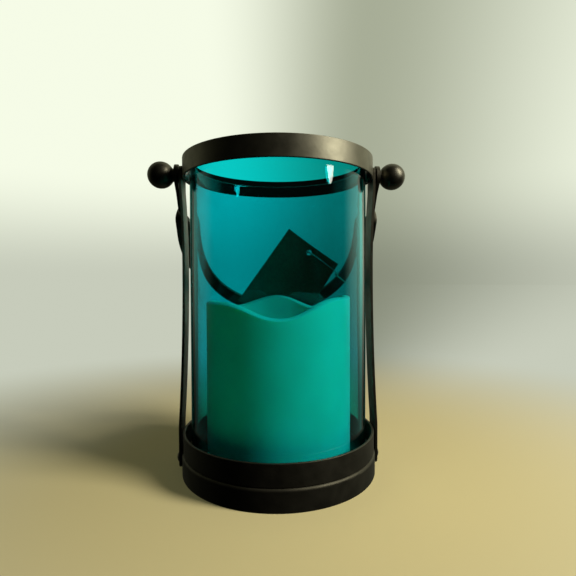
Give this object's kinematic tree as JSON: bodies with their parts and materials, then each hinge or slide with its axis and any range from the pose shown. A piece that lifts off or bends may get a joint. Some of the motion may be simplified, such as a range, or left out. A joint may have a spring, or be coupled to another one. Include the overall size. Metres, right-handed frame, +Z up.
{
  "type": "candle lantern",
  "caption": "Round candle lantern: strap-metal frame, tinted glass cylinder, bail handle on ball-headed pivots, hang tag, and a lift-out flameless pillar candle with a twist-lock battery cover.",
  "frame": {"origin": "middle of the base, on the surface that it stands on", "axes": "+Z up, +X to the right of the picture, -Y towards the viewer; the handle leans on the back of the glass at +Y"},
  "size_m": [0.1368, 0.1051, 0.1622],
  "materials": {
    "frame_metal": "satin black-bronze coating",
    "handle_metal": "satin black-bronze coating",
    "finial_metal": "satin black-bronze coating",
    "pivot_steel": "blackened steel",
    "tag_card": "dark card, bare",
    "tag_twine": "pale twisted cotton",
    "tinted_glass": "clear teal",
    "candle_wax": "ivory wax, softly translucent",
    "core_plastic": "moulded off-white",
    "cell_jacket": "plain jacket over steel can",
    "contact_metal": "nickel-plated strip",
    "board_laminate": "green laminate",
    "led_lens": "milky epoxy",
    "switch_plastic": "black moulding",
    "lead_insulation": "coloured wire insulation"
  },
  "bodies": {
    "frame": {"base_pan": "frame_metal", "base_hoop": "frame_metal", "top_ring": "frame_metal", "strap_right": "frame_metal", "strap_left": "frame_metal", "strap_rivets": "frame_metal", "pivot_screws": "pivot_steel", "pivot_washers": "pivot_steel", "ball_finial_right": "finial_metal", "ball_finial_left": "finial_metal"},
    "handle": {"bail_handle": "handle_metal", "hang_tag": "tag_card", "tag_string": "tag_twine"},
    "glass": {"glass_cylinder": "tinted_glass"},
    "candle": {"candle_wax": "candle_wax", "candle_core": "core_plastic", "battery_cells": "cell_jacket", "battery_contacts": "contact_metal", "circuit_board": "board_laminate", "led_bulb": "led_lens", "switch_body": "switch_plastic", "switch_leads": "lead_insulation"},
    "cover": {"battery_cover": "core_plastic", "cover_contact": "contact_metal"},
    "power_switch": {"switch_knob": "switch_plastic"}
  },
  "joints": [
    {"name": "handle_swing", "type": "hinge", "parent": "frame", "child": "handle", "pos_m": [0, 0, 0.155], "axis": [1, 0, 0], "range_deg": [0, 225]},
    {"name": "glass_lift", "type": "slide", "parent": "frame", "child": "glass", "axis": [0, 0, 1], "range_m": [0, 0.155]},
    {"name": "candle_lift", "type": "slide", "parent": "frame", "child": "candle", "axis": [0, 0, 1], "range_m": [0, 0.155]},
    {"name": "cover_turn", "type": "hinge", "parent": "candle", "child": "cover", "pos_m": [0, 0, 0.0119], "axis": [0, 0, -1], "range_deg": [0, 40]},
    {"name": "switch_slide", "type": "slide", "parent": "candle", "child": "power_switch", "axis": [1, 0, 0], "range_m": [0, 0.003]}
  ]
}
